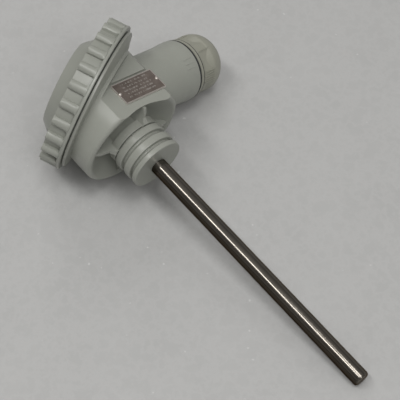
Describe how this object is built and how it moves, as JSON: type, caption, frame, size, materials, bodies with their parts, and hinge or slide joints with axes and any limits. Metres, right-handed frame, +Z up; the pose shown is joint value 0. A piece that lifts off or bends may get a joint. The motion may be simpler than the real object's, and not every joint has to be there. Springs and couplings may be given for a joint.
{
  "type": "resistance temperature probe with connection head",
  "caption": "Resistance temperature probe: slim closed steel stem on a moulded head with a slanted castellated screw cover, grip rings and a cable gland.",
  "frame": {"origin": "on the surface that the probe lies on, under the middle of its bounding box", "axes": "+Z up, +X the level heading of the stem towards its tip, +Y to the left of it; the probe lies at rest on the cover's rim, the gland nut's dome and the stem's tip"},
  "size_m": [0.2078, 0.111, 0.0746],
  "materials": {
    "head_plastic": "satin",
    "gland_plastic": "satin",
    "seal_rubber": "matte",
    "plate_steel": "etched",
    "stem_steel": "polished",
    "screw_steel": "plated",
    "brass": "machined",
    "block_ceramic": "unglazed"
  },
  "bodies": {
    "head": {"housing": "head_plastic", "nameplate": "plate_steel", "nameplate_pins": "screw_steel", "gland_washer": "seal_rubber", "gland_body": "gland_plastic", "probe_sheath": "stem_steel", "sheath_bush": "brass", "bush_washer": "seal_rubber", "terminal_block": "block_ceramic", "terminal_clamps": "brass", "terminal_screws": "screw_steel", "block_screws": "screw_steel", "block_washers": "screw_steel", "thread_inserts": "brass", "insulator": "block_ceramic", "lead_wires": "screw_steel", "potting": "block_ceramic", "sensing_element": "block_ceramic", "element_fill": "block_ceramic"},
    "gasket": {"cover_gasket": "seal_rubber"},
    "cover": {"cover": "head_plastic"},
    "seal": {"gland_seal": "seal_rubber"},
    "nut": {"gland_nut": "gland_plastic"}
  },
  "joints": [
    {"name": "cover_lift", "type": "slide", "parent": "head", "child": "gasket", "axis": [-0.8548, -0.4242, 0.2989], "range_m": [0, 0.0075]},
    {"name": "cover_turn", "type": "hinge", "parent": "gasket", "child": "cover", "pos_m": [-0.07579, -0.01728, 0.03575], "axis": [-0.8548, -0.4242, 0.2989], "range_deg": [0, 900]},
    {"name": "nut_travel", "type": "slide", "parent": "head", "child": "seal", "axis": [-0.0565, 0.9473, -0.3152], "range_m": [0, 0.006]},
    {"name": "nut_turn", "type": "hinge", "parent": "seal", "child": "nut", "pos_m": [-0.07515, 0.04959, 0.01268], "axis": [-0.0565, 0.9473, -0.3152], "range_deg": [0, 1440]}
  ],
  "couplings": [
    {"joint": "cover_lift", "follows": "cover_turn", "m_per_rad": 0.00047746},
    {"joint": "nut_travel", "follows": "nut_turn", "m_per_rad": 0.00023873}
  ]
}
